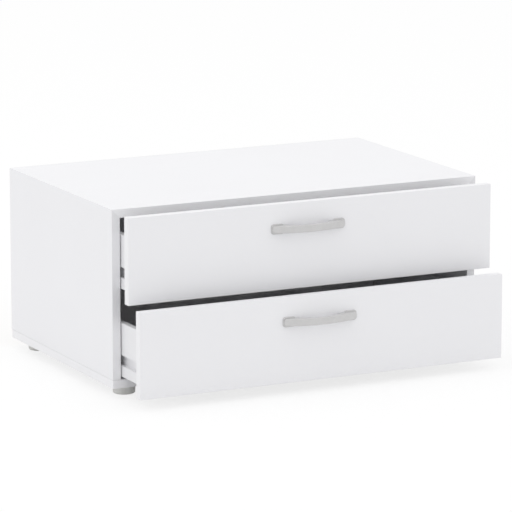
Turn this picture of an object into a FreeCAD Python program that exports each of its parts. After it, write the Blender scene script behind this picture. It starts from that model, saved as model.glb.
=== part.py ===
"""Low chest with two drawers.

A white board carcass with a mitred top, two drawers that run on strips in grooved
sides, full overlay fronts with bow handles, and four round feet. Millimetres, +Z up,
X along the width, the fronts towards -Y. The origin lies on the floor, under the middle
of the whole object with its drawers open as they are drawn.
"""
import FreeCAD, Part
import os

import PartDesign
import Sketcher

# Driving sizes: name, value, what it is
SIZES = [
    ("carcass_wide", 753, "outside width of the carcass"),
    ("carcass_deep", 471, "depth of the carcass, back panel included"),
    ("carcass_high", 331.5, "height of the carcass without its feet"),
    ("board_thick", 16, "carcass board"),
    ("board_round", 0.5, "rounding of the top board's and the sides' banded edges"),
    ("bottom_round", 1, "rounding of the bottom board's banded edges"),
    ("back_thick", 3, "hardboard back panel"),
    ("rebate_wide", 8, "rebate that the back panel lies in"),
    ("back_gap", 0.5, "room between the back panel and the wall of its rebate"),
    ("back_lift", 2, "back panel's lower edge above the carcass underside"),
    ("foot_diam", 42, "foot, where it meets the carcass"),
    ("foot_base_diam", 41, "foot, on the floor"),
    ("foot_high", 19, "height of a foot"),
    ("foot_inset", 40, "foot's centre from the carcass edges"),
    ("foot_round", 3, "rounding of the foot's lower rim"),
    ("foot_well_diam", 13, "well for the screw head in a foot"),
    ("foot_well_deep", 8, "depth of that well"),
    ("front_thick", 16, "drawer front"),
    ("front_side_reveal", 3, "carcass edge seen beside a front"),
    ("front_top_reveal", 4.5, "carcass edge seen above the upper front"),
    ("front_gap", 3, "gap between the two fronts"),
    ("front_bottom_reveal", 3, "carcass edge seen under the lower front"),
    ("front_round", 0.8, "rounding of the banded edges of a front"),
    ("upper_open", 47, "how far the upper drawer stands open"),
    ("lower_open", 94.5, "how far the lower drawer stands open"),
    ("closed_gap", 1, "gap behind a closed front"),
    ("box_side_gap", 2, "gap between a drawer side and the carcass side"),
    ("box_rear_gap", 19, "gap between a closed drawer box and the back panel"),
    ("box_thick", 12, "drawer side and drawer back"),
    ("box_high", 100, "height of a drawer side"),
    ("box_round", 1, "rounding along the top of a drawer side and drawer back"),
    ("box_drop", 42, "drawer side's top below the top of its front"),
    ("groove_high", 20, "runner groove in a drawer side"),
    ("groove_deep", 8, "depth of that groove"),
    ("groove_rise", 20, "groove's lower wall above the lower edge of the side"),
    ("base_thick", 3, "hardboard drawer bottom"),
    ("base_rise", 10, "drawer bottom above the lower edge of the side"),
    ("slot_deep", 6, "slot that holds the drawer bottom"),
    ("slot_end_gap", 0.5, "room between the drawer bottom and the end of its slot"),
    ("slot_play", 0.2, "height of that slot over the drawer bottom's thickness"),
    ("strip_high", 17, "runner strip"),
    ("strip_top_gap", 0.3, "running gap between a strip and its groove's upper wall"),
    ("strip_floor_gap", 0.5, "running gap between a strip and its groove's floor"),
    ("strip_setback", 25, "strip's nose behind the carcass front edge"),
    ("strip_rear_gap", 20, "gap between a strip's end and the back panel"),
    ("strip_screw_inset", 35, "outer strip screws from the strip's ends"),
    ("strip_screws", 3, "screws in each strip"),
    ("strip_screw_head", 6.6, "head of a strip screw"),
    ("strip_screw_thick", 3.5, "shank of a strip screw"),
    ("strip_screw_long", 20, "length of a strip screw"),
    ("foot_screw_head", 9, "head of a foot screw"),
    ("foot_screw_head_high", 2.6, "height of that head"),
    ("foot_screw_thick", 4, "shank of a foot screw"),
    ("foot_screw_bite", 12, "depth of a foot screw in the bottom panel"),
    ("joint_screw_head", 10, "head of a screw that holds a side to the bottom panel"),
    ("joint_screw_neck", 7, "neck of that screw"),
    ("joint_screw_core", 5, "thread of that screw"),
    ("joint_screw_long", 50, "length of that screw"),
    ("joint_screw_inset", 40, "joint screws from the front and rear edges"),
    ("dowel_thick", 8, "wood dowel"),
    ("dowel_long", 30, "length of a dowel"),
    ("dowel_low", 11, "depth of a dowel in the bottom panel"),
    ("dowel_bevel", 1, "bevel at a dowel's ends"),
    ("dowel_inset", 100, "dowels from the front and rear edges"),
    ("nail_head", 4, "head of a back nail"),
    ("nail_head_high", 0.8, "height of a nail head, sunk flush"),
    ("nail_thick", 1.8, "shank of a nail"),
    ("nail_long", 18, "length of a nail"),
    ("nail_inset", 4, "nails from the rebate's wall"),
    ("nail_end", 60, "first nail of a long row from the carcass side"),
    ("nails_across", 5, "nails along the top and along the bottom"),
    ("nail_rise", 110, "first nail of a short row above the carcass underside"),
    ("nail_step", 110, "spacing of a short row of nails"),
    ("nails_up", 2, "nails along each side"),
    ("base_nail_end", 40, "first nail under a drawer from its side"),
    ("base_nails", 4, "nails that hold a drawer bottom to the drawer back"),
    ("lock_diam", 15, "cam lock in a drawer side"),
    ("lock_thick", 9.6, "depth of a cam lock"),
    ("lock_set", 24, "cam lock's centre behind the front"),
    ("lock_rise", 52, "lower cam lock above the lower edge of the side"),
    ("lock_step", 30, "spacing of the two cam locks of a side"),
    ("lock_cross", 8, "length of the cross recess in a cam lock"),
    ("lock_cross_wide", 1.6, "width of its arms"),
    ("lock_cross_deep", 1.8, "depth of the cross recess"),
    ("lock_bolt_thread", 5, "thread of a cam bolt, in the front"),
    ("lock_bolt_bite", 11, "depth of a cam bolt in the front"),
    ("lock_bolt_shank", 6, "shank of a cam bolt, in the drawer side"),
    ("lock_bolt_neck", 3.4, "neck behind the head of a cam bolt"),
    ("lock_bolt_neck_long", 3.5, "length of that neck"),
    ("lock_bolt_head_high", 2, "head of a cam bolt"),
    ("lock_channel", 7, "channel that a cam bolt slides into"),
    ("lock_channel_gap", 0.5, "room between a cam bolt's head and the end of its channel"),
    ("box_screw_head", 7.6, "head of a screw that holds a side to the drawer back"),
    ("box_screw_thick", 4, "shank of that screw"),
    ("box_screw_long", 35, "length of that screw"),
    ("handle_span", 151, "handle from end to end, over its foot plates"),
    ("handle_pitch", 128, "spacing of its two screws"),
    ("handle_reach", 23, "how far a handle stands out of its front"),
    ("handle_end_thick", 6, "how far the ends of the bow stand out of the front"),
    ("handle_strap", 5.5, "thickness of the bow in its middle"),
    ("handle_foot", 26, "length of a handle's foot plate"),
    ("handle_plate", 3, "thickness of the foot plates"),
    ("handle_ledge", 1, "foot plate's end beyond the end of the bow"),
    ("handle_mid_high", 13.3, "height of the bow"),
    ("handle_end_high", 19, "height of the foot plates"),
    ("handle_plate_corner", 5.5, "rounding of the foot plates' corners"),
    ("handle_plate_round", 0.8, "rounding of the foot plates' front edges"),
    ("handle_corner", 4.5, "rounding of the four corners of the bow"),
    ("handle_round", 1.4, "rounding of the bow's front edges"),
    ("handle_drop", 46.1, "handle's centre line below the top of its front"),
    ("handle_shift", -12, "handle's middle from the middle of the front"),
    ("handle_screw_head", 8.5, "head of a handle screw"),
    ("handle_screw_head_high", 2.4, "height of that head"),
    ("handle_screw_thick", 4, "shank of a handle screw"),
    ("handle_screw_bite", 6, "depth of a handle screw in the handle's foot"),
]

# Sizes and places that follow from the driving sizes
DERIVED = [
    ("inner_wide", "dims.carcass_wide - 2 * dims.board_thick"),
    ("side_high", "dims.carcass_high - dims.board_thick"),
    ("front_wide", "dims.carcass_wide - 2 * dims.front_side_reveal"),
    ("front_high", "(dims.carcass_high - dims.front_top_reveal - dims.front_gap"
                   " - dims.front_bottom_reveal) / 2"),
    ("front_y", "(dims.lower_open + dims.front_thick + dims.handle_reach"
                " - dims.carcass_deep) / 2"),
    ("rear_y", "derived.front_y + dims.carcass_deep"),
    ("left_x", "-dims.carcass_wide / 2"),
    ("inner_left_x", "derived.left_x + dims.board_thick"),
    ("side_foot_z", "dims.foot_high + dims.board_thick"),
    ("top_z", "dims.foot_high + dims.carcass_high"),
    ("lower_front_z", "dims.foot_high + dims.front_bottom_reveal"),
    ("upper_front_z", "derived.lower_front_z + derived.front_high + dims.front_gap"),
    ("box_wide", "derived.inner_wide - 2 * dims.box_side_gap"),
    ("box_long", "dims.carcass_deep - dims.back_thick + dims.closed_gap"
                 " - dims.box_rear_gap"),
    ("box_left_x", "-derived.box_wide / 2"),
    ("box_inner_x", "derived.box_left_x + dims.box_thick"),
    ("box_rise", "derived.front_high - dims.box_drop - dims.box_high"),
    ("strip_thick", "dims.box_side_gap + dims.groove_deep - dims.strip_floor_gap"),
    ("strip_long", "dims.carcass_deep - dims.back_thick - dims.strip_setback"
                   " - dims.strip_rear_gap"),
    ("strip_rise", "derived.box_rise + dims.groove_rise + dims.groove_high"
                   " - dims.strip_top_gap - dims.strip_high"),
    ("front_step", "derived.front_high + dims.front_gap"),
    ("base_deep", "dims.carcass_deep - dims.back_thick"),
    ("back_top_z", "derived.top_z - dims.board_thick + dims.rebate_wide - dims.back_gap"),
]

doc = FreeCAD.newDocument("chest_of_drawers")
dims = doc.addObject("Spreadsheet::Sheet", "dims")
derived = doc.addObject("Spreadsheet::Sheet", "derived")
for row, (alias, value, meaning) in enumerate(SIZES, start=1):
    dims.set(f"A{row}", meaning)
    dims.set(f"B{row}", str(value))
    dims.setAlias(f"B{row}", alias)
for row, (alias, formula) in enumerate(DERIVED, start=1):
    derived.set(f"A{row}", alias)
    derived.set(f"B{row}", "=" + formula)
    derived.setAlias(f"B{row}", alias)
doc.recompute()

SUBPARTS = []   # every piece that is exported
CORNERS = {}    # where each body's own origin lies, as three expressions
SAME = 0.01     # edges that lie this close to a place are taken to lie on it
LEAST_CUT = 0.01    # a cut that removes less than this volume removes nothing


def number(text):
    """The present value of an expression."""
    return float(dims.evalExpression(text))


def local(body, place):
    """A place in the object's frame, told from the body's own origin."""
    return ["0" if there == here else f"{there} - ({here})"
            for there, here in zip(place, CORNERS[body.Name])]


def new_body(label, x, y, z):
    """An empty body whose own origin is bound to x, y, z."""
    body = doc.addObject("PartDesign::Body", label)
    body.Label = label
    body.AllowCompound = True
    for axis, text in zip("xyz", (x, y, z)):
        body.setExpression("Placement.Base." + axis, text)
    CORNERS[body.Name] = (x, y, z)
    SUBPARTS.append(body)
    return body


def origin_part(body, role):
    """One plane or axis of the body's own origin."""
    return next(item for item in body.Origin.OriginFeatures if item.Role == role)


def new_sketch(body, name, plane, x="0", y="0", z="0"):
    """A sketch on one of the body's planes, with its origin at x, y, z of the body."""
    sketch = body.newObject("Sketcher::SketchObject", f"{body.Name}_{name}")
    sketch.AttachmentSupport = [(origin_part(body, plane), "")]
    sketch.MapMode = "FlatFace"
    offsets = {"XY_Plane": (x, y, z), "XZ_Plane": (x, z, f"-({y})"), "YZ_Plane": (y, z, x)}
    for axis, text in zip("xyz", offsets[plane]):
        sketch.setExpression("AttachmentOffset.Base." + axis, text)
    return sketch


def pin_point(sketch, edge, end, across, up):
    """Tie a point of the sketch to its two coordinates."""
    for kind, level, text in (("DistanceX", "Vertical", across), ("DistanceY", "Horizontal", up)):
        if text == "0":
            sketch.addConstraint(Sketcher.Constraint(level, -1, 1, edge, end))
        else:
            size = Sketcher.Constraint(kind, -1, 1, edge, end, number(text))
            index = sketch.addConstraint(size)
            sketch.setExpression(f"Constraints[{index}]", text)


def outline(sketch, corners, through=None):
    """A closed outline. through gives, by the stretch's number, a point that an arc passes.

    A sketch keeps every arc anticlockwise, so a clockwise stretch is drawn backwards.
    """
    through = through or {}
    points = [FreeCAD.Vector(number(a), number(b), 0) for a, b in corners]
    ends = []
    for index, start in enumerate(points):
        finish = points[(index + 1) % len(points)]
        if index in through:
            across, up = through[index]
            middle = FreeCAD.Vector(number(across), number(up), 0)
            forward = (middle - start).cross(finish - start).z > 0
            arc = Part.Arc(start, middle, finish) if forward else Part.Arc(finish, middle, start)
            edge = sketch.addGeometry(arc, False)
            mark = sketch.addGeometry(Part.Point(middle), True)
            sketch.addConstraint(Sketcher.Constraint("PointOnObject", mark, 1, edge))
            pin_point(sketch, mark, 1, across, up)
        else:
            edge = sketch.addGeometry(Part.LineSegment(start, finish), False)
            forward = True
        ends.append((edge, 1, 2) if forward else (edge, 2, 1))
    for (edge, _, last), (after, first, _) in zip(ends, ends[1:] + ends[:1]):
        sketch.addConstraint(Sketcher.Constraint("Coincident", edge, last, after, first))
    for (edge, first, _), (across, up) in zip(ends, corners):
        pin_point(sketch, edge, first, across, up)


def rectangle(sketch, across, up, wide, high):
    """A rectangle from its lower left corner."""
    right = f"{across} + {wide}"
    top = f"{up} + {high}"
    outline(sketch, [(across, up), (right, up), (right, top), (across, top)])


def feature(body, kind, name, profile):
    """A PartDesign feature made from a sketch, which becomes the body's tip."""
    item = body.newObject(kind, f"{body.Name}_{name}")
    item.Profile = profile
    body.Tip = item
    return item


def pad(body, sketch, length, reverse=False, symmetric=False):
    """Raise the sketch into a solid, to one side of its plane or to both."""
    item = feature(body, "PartDesign::Pad", "pad", sketch)
    item.setExpression("Length", length)
    item.Reversed = reverse
    if symmetric:
        item.SideType = "Symmetric"
    return item


def pocket(body, sketch, depth=None, reverse=False):
    """Cut the sketch into the body, by depth or right through."""
    item = feature(body, "PartDesign::Pocket", "pocket", sketch)
    item.Reversed = reverse
    if depth is None:
        item.Type = "ThroughAll"
    else:
        item.setExpression("Length", depth)
    return item


def repeat(body, items, *steps):
    """Copies of the features: each step is an axis, a spacing and a count, or a mirror."""
    group = body.newObject("PartDesign::MultiTransform", f"{body.Name}_copies")
    group.Originals = items
    moves = []
    for role, *spacing in steps:
        if spacing:
            move = body.newObject("PartDesign::LinearPattern", f"{body.Name}_row")
            move.Direction = (origin_part(body, role), [""])
            move.Mode = "Spacing"
            move.setExpression("Offset", spacing[0])
            move.setExpression("Occurrences", spacing[1])
        else:
            move = body.newObject("PartDesign::Mirrored", f"{body.Name}_mirror")
            move.MirrorPlane = (origin_part(body, role), [""])
        moves.append(move)
    group.Transformations = moves
    body.Tip = group
    return group


def round_edges(body, radius, wanted):
    """Fillet the edges of the tip for which wanted(edge) is true."""
    doc.recompute()
    base = body.Tip
    names = [f"Edge{i}" for i, edge in enumerate(base.Shape.Edges, start=1) if wanted(edge)]
    item = body.newObject("PartDesign::Fillet", f"{body.Name}_round")
    item.Base = (base, names)
    item.setExpression("Radius", radius)
    body.Tip = item
    return item


def slab(label, corner, wide, deep, high):
    """A board with its own origin at its left, front, lower corner."""
    body = new_body(label, *corner)
    sketch = new_sketch(body, "plan", "XY_Plane")
    rectangle(sketch, "0", "0", wide, deep)
    pad(body, sketch, high)
    return body


def mirrored(label, source):
    """The same piece for the other side of the object."""
    copy = doc.addObject("Part::Mirroring", label)
    copy.Label = label
    copy.Source = source
    copy.Normal = FreeCAD.Vector(1, 0, 0)
    copy.Base = FreeCAD.Vector(0, 0, 0)
    SUBPARTS.append(copy)
    return copy


# Half sections of the fasteners, as radius and distance along the axis
NAIL = [("0", "0"), ("dims.nail_head / 2", "0"),
        ("dims.nail_head / 2", "dims.nail_head_high"),
        ("dims.nail_thick / 2", "dims.nail_head_high"),
        ("dims.nail_thick / 2", "dims.nail_long"), ("0", "dims.nail_long")]
STRIP_SCREW = [("0", "0"), ("dims.strip_screw_head / 2", "0"),
               ("dims.strip_screw_thick / 2",
                "(dims.strip_screw_head - dims.strip_screw_thick) / 2"),
               ("dims.strip_screw_thick / 2", "dims.strip_screw_long"),
               ("0", "dims.strip_screw_long")]
BOX_SCREW = [("0", "0"), ("dims.box_screw_head / 2", "0"),
             ("dims.box_screw_thick / 2", "(dims.box_screw_head - dims.box_screw_thick) / 2"),
             ("dims.box_screw_thick / 2", "dims.box_screw_long"),
             ("0", "dims.box_screw_long")]
JOINT_SCREW = [("0", "0"), ("dims.joint_screw_head / 2", "0"),
               ("dims.joint_screw_neck / 2", "dims.joint_screw_head / 2 - dims.joint_screw_neck / 2"),
               ("dims.joint_screw_neck / 2", "dims.board_thick"),
               ("dims.joint_screw_core / 2", "dims.board_thick"),
               ("dims.joint_screw_core / 2", "dims.joint_screw_long"),
               ("0", "dims.joint_screw_long")]
FOOT_SCREW = [("0", "-dims.foot_screw_head_high"),
              ("dims.foot_screw_head / 2", "-dims.foot_screw_head_high"),
              ("dims.foot_screw_head / 2", "0"), ("dims.foot_screw_thick / 2", "0"),
              ("dims.foot_screw_thick / 2",
               "dims.foot_high - dims.foot_well_deep + dims.foot_screw_bite"),
              ("0", "dims.foot_high - dims.foot_well_deep + dims.foot_screw_bite")]
HANDLE_SCREW = [("0", "-dims.handle_screw_head_high"),
                ("dims.handle_screw_head / 2", "-dims.handle_screw_head_high"),
                ("dims.handle_screw_head / 2", "0"), ("dims.handle_screw_thick / 2", "0"),
                ("dims.handle_screw_thick / 2", "dims.front_thick + dims.handle_screw_bite"),
                ("0", "dims.front_thick + dims.handle_screw_bite")]
DOWEL = [("0", "0"), ("dims.dowel_thick / 2 - dims.dowel_bevel", "0"),
         ("dims.dowel_thick / 2", "dims.dowel_bevel"),
         ("dims.dowel_thick / 2", "dims.dowel_long - dims.dowel_bevel"),
         ("dims.dowel_thick / 2 - dims.dowel_bevel", "dims.dowel_long"),
         ("0", "dims.dowel_long")]
LOCK = [("0", "0"), ("dims.lock_diam / 2", "0"),
        ("dims.lock_diam / 2", "dims.lock_thick"), ("0", "dims.lock_thick")]
LOCK_HEAD_START = "dims.lock_set - dims.lock_bolt_head_high / 2"
LOCK_HEAD_END = "dims.lock_set + dims.lock_bolt_head_high / 2"
LOCK_NECK_START = f"{LOCK_HEAD_START} - dims.lock_bolt_neck_long"
LOCK_BOLT = [("0", "-dims.lock_bolt_bite"),
             ("dims.lock_bolt_thread / 2", "-dims.lock_bolt_bite"),
             ("dims.lock_bolt_thread / 2", "0"), ("dims.lock_bolt_shank / 2", "0"),
             ("dims.lock_bolt_shank / 2", LOCK_NECK_START),
             ("dims.lock_bolt_neck / 2", LOCK_NECK_START),
             ("dims.lock_bolt_neck / 2", LOCK_HEAD_START),
             ("dims.lock_bolt_shank / 2", LOCK_HEAD_START),
             ("dims.lock_bolt_shank / 2", LOCK_HEAD_END), ("0", LOCK_HEAD_END)]
LOCK_CHANNEL_END = f"{LOCK_HEAD_END} + dims.lock_channel_gap"
LOCK_CHANNEL = [("0", "0"), ("dims.lock_channel / 2", "0"),
                ("dims.lock_channel / 2", LOCK_CHANNEL_END), ("0", LOCK_CHANNEL_END)]
LOCK_BOLT_HOLE = LOCK_BOLT[:3] + [("0", "0")]

# For each way a fastener can point: its plane, its axis, and how radius and length lie there
AIMS = {
    "+X": ("XY_Plane", "H_Axis", lambda radius, along: (along, radius)),
    "-X": ("XY_Plane", "H_Axis", lambda radius, along: (negative(along), radius)),
    "+Y": ("XY_Plane", "V_Axis", lambda radius, along: (radius, along)),
    "-Y": ("XY_Plane", "V_Axis", lambda radius, along: (radius, negative(along))),
    "+Z": ("XZ_Plane", "V_Axis", lambda radius, along: (radius, along)),
}


def negative(text):
    """The expression with its sign turned."""
    return "0" if text == "0" else f"-({text})"


def turned(body, kind, half_section, place, aim):
    """Turn a half section about its axis, as a solid (Revolution) or as a hole (Groove)."""
    plane, axis, lay = AIMS[aim]
    sketch = new_sketch(body, "half_section", plane, *local(body, place))
    outline(sketch, [lay(radius, along) for radius, along in half_section])
    item = feature(body, "PartDesign::" + kind, kind.lower(), sketch)
    item.ReferenceAxis = (sketch, [axis])
    item.Angle = 360
    return item


# Places that a fastener and its holes share
NAIL_ROW_STEP = "(dims.carcass_wide - 2 * dims.nail_end) / (dims.nails_across - 1)"
NAIL_LEFT = "derived.left_x + dims.nail_end"
NAIL_TOP_Z = "derived.top_z - dims.board_thick + dims.rebate_wide - dims.nail_inset"
NAIL_BOTTOM_Z = "dims.foot_high + dims.board_thick / 2"
NAIL_SIDE_X = "derived.inner_left_x - dims.rebate_wide + dims.nail_inset"
NAIL_SIDE_Z = "dims.foot_high + dims.nail_rise"
TOP_NAIL = (NAIL_LEFT, "derived.rear_y", NAIL_TOP_Z)
BOTTOM_NAIL = (NAIL_LEFT, "derived.rear_y", NAIL_BOTTOM_Z)
SIDE_NAIL = (NAIL_SIDE_X, "derived.rear_y", NAIL_SIDE_Z)
NAIL_ROW = ("X_Axis", NAIL_ROW_STEP, "dims.nails_across")
NAIL_COLUMN = ("Z_Axis", "dims.nail_step", "dims.nails_up")

JOINT_X = "derived.left_x + dims.board_thick / 2"
JOINT_ACROSS = ("X_Axis", "dims.carcass_wide - dims.board_thick", "2")
JOINT_SCREW_AT = (JOINT_X, "derived.front_y + dims.joint_screw_inset", "dims.foot_high")
JOINT_SCREW_ROW = ("Y_Axis", "derived.base_deep - 2 * dims.joint_screw_inset", "2")
DOWEL_AT = (JOINT_X, "derived.front_y + dims.dowel_inset", "derived.side_foot_z - dims.dowel_low")
DOWEL_ROW = ("Y_Axis", "derived.base_deep - 2 * dims.dowel_inset", "2")

FOOT_X = "derived.left_x + dims.foot_inset"
FOOT_Y = "derived.front_y + dims.foot_inset"
FOOT_SCREW_AT = (FOOT_X, FOOT_Y, "dims.foot_well_deep")
FOOT_ACROSS = ("X_Axis", "dims.carcass_wide - 2 * dims.foot_inset", "2")
FOOT_ALONG = ("Y_Axis", "dims.carcass_deep - 2 * dims.foot_inset", "2")

STRIP_FACE_X = "derived.inner_left_x + derived.strip_thick"
STRIP_Y = "derived.front_y + dims.strip_setback"
STRIP_SCREW_Y = f"{STRIP_Y} + dims.strip_screw_inset"
STRIP_SCREW_STEP = ("(derived.strip_long - 2 * dims.strip_screw_inset)"
                    " / (dims.strip_screws - 1)")
STRIP_SCREW_ROW = ("Y_Axis", STRIP_SCREW_STEP, "dims.strip_screws")
STRIP_PAIR = ("Z_Axis", "derived.front_step", "2")


def strip_screw_at(front_z):
    """The foremost screw of the left strip behind the front whose lower edge is front_z."""
    return (STRIP_FACE_X, STRIP_SCREW_Y, f"{front_z} + derived.strip_rise + dims.strip_high / 2")


def make_top_panel():
    """Top board, cut to 45 degrees at both ends, with the rebate for the back."""
    body = new_body("top_panel", "derived.left_x", "derived.front_y",
                    "derived.top_z - dims.board_thick")
    section = new_sketch(body, "mitred_section", "XZ_Plane")
    outline(section, [("dims.board_thick", "0"),
                      ("dims.carcass_wide - dims.board_thick", "0"),
                      ("dims.carcass_wide", "dims.board_thick"),
                      ("0", "dims.board_thick")])
    pad(body, section, "dims.carcass_deep", reverse=True)
    round_edges(body, "dims.board_round",
                lambda edge: edge.BoundBox.YMax < SAME and edge.BoundBox.ZLength < SAME)
    rebate = new_sketch(body, "rebate", "YZ_Plane")
    rectangle(rebate, "dims.carcass_deep - dims.back_thick", "0",
              "dims.back_thick", "dims.rebate_wide")
    pocket(body, rebate, reverse=True)
    hole = turned(body, "Groove", NAIL, TOP_NAIL, "-Y")
    repeat(body, [hole], NAIL_ROW)


def make_side_panels():
    """Sides that stand on the bottom board and meet the top in a mitre."""
    body = new_body("side_panel_left", "derived.left_x", "derived.front_y",
                    "derived.side_foot_z")
    section = new_sketch(body, "mitred_section", "XZ_Plane")
    outline(section, [("0", "0"), ("dims.board_thick", "0"),
                      ("dims.board_thick", "derived.side_high - dims.board_thick"),
                      ("0", "derived.side_high")])
    pad(body, section, "dims.carcass_deep", reverse=True)
    round_edges(body, "dims.board_round",
                lambda edge: edge.BoundBox.YMax < SAME and edge.BoundBox.XLength < SAME
                or edge.BoundBox.XMax < SAME and edge.BoundBox.ZMax < SAME)
    rebate = new_sketch(body, "rebate", "XY_Plane")
    rectangle(rebate, "dims.board_thick - dims.rebate_wide",
              "dims.carcass_deep - dims.back_thick", "dims.rebate_wide", "dims.back_thick")
    pocket(body, rebate, reverse=True)
    screw_hole = turned(body, "Groove", JOINT_SCREW, JOINT_SCREW_AT, "+Z")
    repeat(body, [screw_hole], JOINT_SCREW_ROW)
    dowel_hole = turned(body, "Groove", DOWEL, DOWEL_AT, "+Z")
    repeat(body, [dowel_hole], DOWEL_ROW)
    strip_hole = turned(body, "Groove", STRIP_SCREW, strip_screw_at("derived.lower_front_z"), "-X")
    repeat(body, [strip_hole], STRIP_SCREW_ROW, STRIP_PAIR)
    nail_hole = turned(body, "Groove", NAIL, SIDE_NAIL, "-Y")
    repeat(body, [nail_hole], NAIL_COLUMN)
    mirrored("side_panel_right", body)


def make_bottom_panel():
    """Bottom board, which runs under both sides and carries the feet."""
    body = slab("bottom_panel", ("derived.left_x", "derived.front_y", "dims.foot_high"),
                "dims.carcass_wide", "derived.base_deep", "dims.board_thick")
    right_end = number("dims.carcass_wide")
    round_edges(body, "dims.bottom_round",
                lambda edge: edge.BoundBox.YMax < SAME or edge.BoundBox.ZLength < SAME
                and (edge.BoundBox.XMax < SAME or edge.BoundBox.XMin > right_end - SAME))
    screw_hole = turned(body, "Groove", JOINT_SCREW, JOINT_SCREW_AT, "+Z")
    repeat(body, [screw_hole], JOINT_SCREW_ROW, JOINT_ACROSS)
    dowel_hole = turned(body, "Groove", DOWEL, DOWEL_AT, "+Z")
    repeat(body, [dowel_hole], DOWEL_ROW, JOINT_ACROSS)
    foot_hole = turned(body, "Groove", FOOT_SCREW, FOOT_SCREW_AT, "+Z")
    repeat(body, [foot_hole], FOOT_ACROSS, FOOT_ALONG)
    nail_hole = turned(body, "Groove", NAIL, BOTTOM_NAIL, "-Y")
    repeat(body, [nail_hole], NAIL_ROW)


def make_back_panel():
    """Hardboard back, nailed into the rebate and over the bottom board's rear edge."""
    low_z = "dims.foot_high + dims.back_lift"
    left = "derived.inner_left_x - dims.rebate_wide + dims.back_gap"
    body = slab("back_panel", (left, "derived.rear_y - dims.back_thick", low_z),
                "derived.inner_wide + 2 * dims.rebate_wide - 2 * dims.back_gap",
                "dims.back_thick", f"derived.back_top_z - ({low_z})")
    add_nails(body, "Groove")


def add_nails(body, kind):
    """All nails of the back, as solids or as holes."""
    bottom_nail = turned(body, kind, NAIL, BOTTOM_NAIL, "-Y")
    repeat(body, [bottom_nail], NAIL_ROW, ("Z_Axis", f"{NAIL_TOP_Z} - ({NAIL_BOTTOM_Z})", "2"))
    side_nail = turned(body, kind, NAIL, SIDE_NAIL, "-Y")
    repeat(body, [side_nail], NAIL_COLUMN, ("X_Axis", f"-2 * ({NAIL_SIDE_X})", "2"))


def make_carcass_fasteners():
    """Nails of the back, and the screws and dowels between the sides and the bottom."""
    nails = new_body("back_nails", *BOTTOM_NAIL)
    add_nails(nails, "Revolution")
    screws = new_body("joint_screws", *JOINT_SCREW_AT)
    screw = turned(screws, "Revolution", JOINT_SCREW, JOINT_SCREW_AT, "+Z")
    repeat(screws, [screw], JOINT_SCREW_ROW, JOINT_ACROSS)
    dowels = new_body("joint_dowels", *DOWEL_AT)
    dowel = turned(dowels, "Revolution", DOWEL, DOWEL_AT, "+Z")
    repeat(dowels, [dowel], DOWEL_ROW, JOINT_ACROSS)


def make_runner_strips():
    """Four plastic strips with a rounded nose, and the screws that hold them."""
    for level in ("upper", "lower"):
        front_z = f"derived.{level}_front_z"
        body = new_body(f"{level}_runner_left", "derived.inner_left_x", STRIP_Y,
                        f"{front_z} + derived.strip_rise")
        side_view = new_sketch(body, "side_view", "YZ_Plane")
        nose = "dims.strip_high / 2"
        outline(side_view, [(nose, "0"), ("derived.strip_long", "0"),
                            ("derived.strip_long", "dims.strip_high"),
                            (nose, "dims.strip_high")],
                through={3: ("0", nose)})
        pad(body, side_view, "derived.strip_thick")
        hole = turned(body, "Groove", STRIP_SCREW, strip_screw_at(front_z), "-X")
        repeat(body, [hole], STRIP_SCREW_ROW)
        mirrored(f"{level}_runner_right", body)
    at = strip_screw_at("derived.lower_front_z")
    screws = new_body("runner_screws", "0", at[1], at[2])
    screw = turned(screws, "Revolution", STRIP_SCREW, at, "-X")
    repeat(screws, [screw], STRIP_SCREW_ROW, STRIP_PAIR, ("YZ_Plane",))


def make_feet():
    """Round feet with a well for the screw, and their screws."""
    rear_y = "derived.rear_y - dims.foot_inset"
    for end, y in (("front", FOOT_Y), ("rear", rear_y)):
        body = new_body(f"{end}_foot_left", FOOT_X, y, "0")
        section = new_sketch(body, "half_section", "XZ_Plane")
        outline(section, [("0", "0"), ("dims.foot_base_diam / 2", "0"),
                          ("dims.foot_diam / 2", "dims.foot_high"), ("0", "dims.foot_high")])
        turn = feature(body, "PartDesign::Revolution", "turn", section)
        turn.ReferenceAxis = (section, ["V_Axis"])
        turn.Angle = 360
        rim = number("dims.foot_base_diam / 2")
        round_edges(body, "dims.foot_round",
                    lambda edge: edge.BoundBox.ZMax < SAME and abs(edge.BoundBox.XMax - rim) < SAME)
        well = new_sketch(body, "well", "XZ_Plane")
        outline(well, [("0", "0"), ("dims.foot_well_diam / 2", "0"),
                       ("dims.foot_well_diam / 2", "dims.foot_well_deep"),
                       ("dims.foot_screw_thick / 2", "dims.foot_well_deep"),
                       ("dims.foot_screw_thick / 2", "dims.foot_high"), ("0", "dims.foot_high")])
        hole = feature(body, "PartDesign::Groove", "well", well)
        hole.ReferenceAxis = (well, ["V_Axis"])
        hole.Angle = 360
        mirrored(f"{end}_foot_right", body)
    screws = new_body("foot_screws", *FOOT_SCREW_AT)
    screw = turned(screws, "Revolution", FOOT_SCREW, FOOT_SCREW_AT, "+Z")
    repeat(screws, [screw], FOOT_ACROSS, FOOT_ALONG)


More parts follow.
